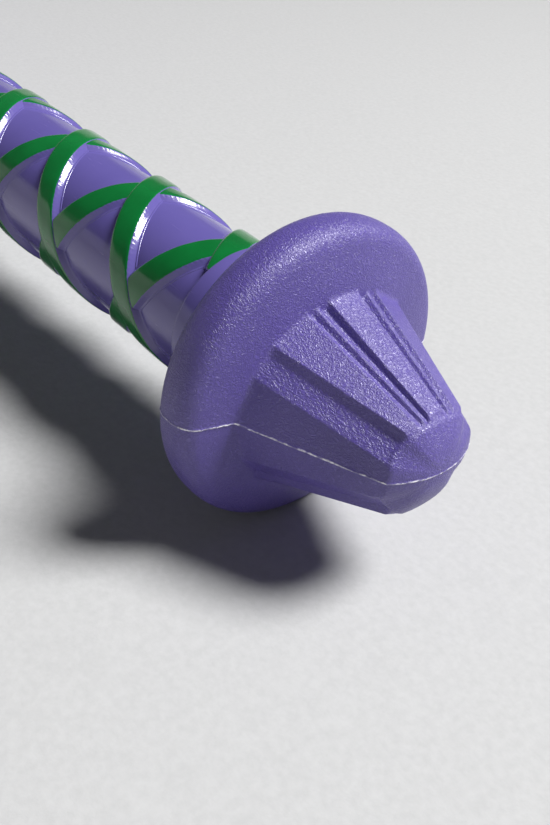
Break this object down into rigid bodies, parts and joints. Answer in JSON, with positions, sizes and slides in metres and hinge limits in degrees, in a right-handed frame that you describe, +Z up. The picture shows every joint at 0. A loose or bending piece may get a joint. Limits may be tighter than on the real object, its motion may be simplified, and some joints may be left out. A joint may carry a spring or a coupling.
{
  "type": "juggling club",
  "caption": "Juggling club with a hollow bulbous body, a slim handle wound with a raised criss-cross lattice, and a flanged knob with a fluted nose, lying on its side.",
  "frame": {"origin": "bottom centre of the bounding box of the club lying at rest on a table, on its belly and on the rim of its knob", "axes": "+X from the crown to the knob along the table, +Z up; the club's own axis dips 3.04 degrees towards the knob"},
  "size_m": [0.524, 0.088, 0.0887],
  "materials": {
    "knob_violet": "satin, fine leathery grain",
    "handle_purple": "glossy moulded surface",
    "lattice_green": "glossy coloured bands",
    "body_purple": "glossy blow-moulded surface",
    "cap_violet": "satin, fine grain",
    "ring_green": "soft satin ring",
    "core_wood": "planed hardwood",
    "nylon_white": "natural nylon",
    "foam_grey": "closed-cell foam",
    "screw_steel": "zinc-plated steel"
  },
  "bodies": {
    "root": {"top_cap": "cap_violet", "top_cap_plug": "cap_violet", "top_cap_screw": "screw_steel", "top_cap_washer": "screw_steel", "crown_bush": "nylon_white", "core_dowel": "core_wood", "body_shell": "body_purple", "neck_ring": "ring_green", "handle_bush_upper": "nylon_white", "handle_foam": "foam_grey", "handle_bush_lower": "nylon_white", "handle_sleeve": "handle_purple", "lattice_band_under_1": "lattice_green", "lattice_band_under_2": "lattice_green", "lattice_band_over_1": "lattice_green", "lattice_band_over_2": "lattice_green", "knob": "knob_violet", "knob_anchor": "nylon_white", "knob_anchor_washer": "screw_steel", "knob_anchor_screw": "screw_steel"}
  },
  "joints": []
}
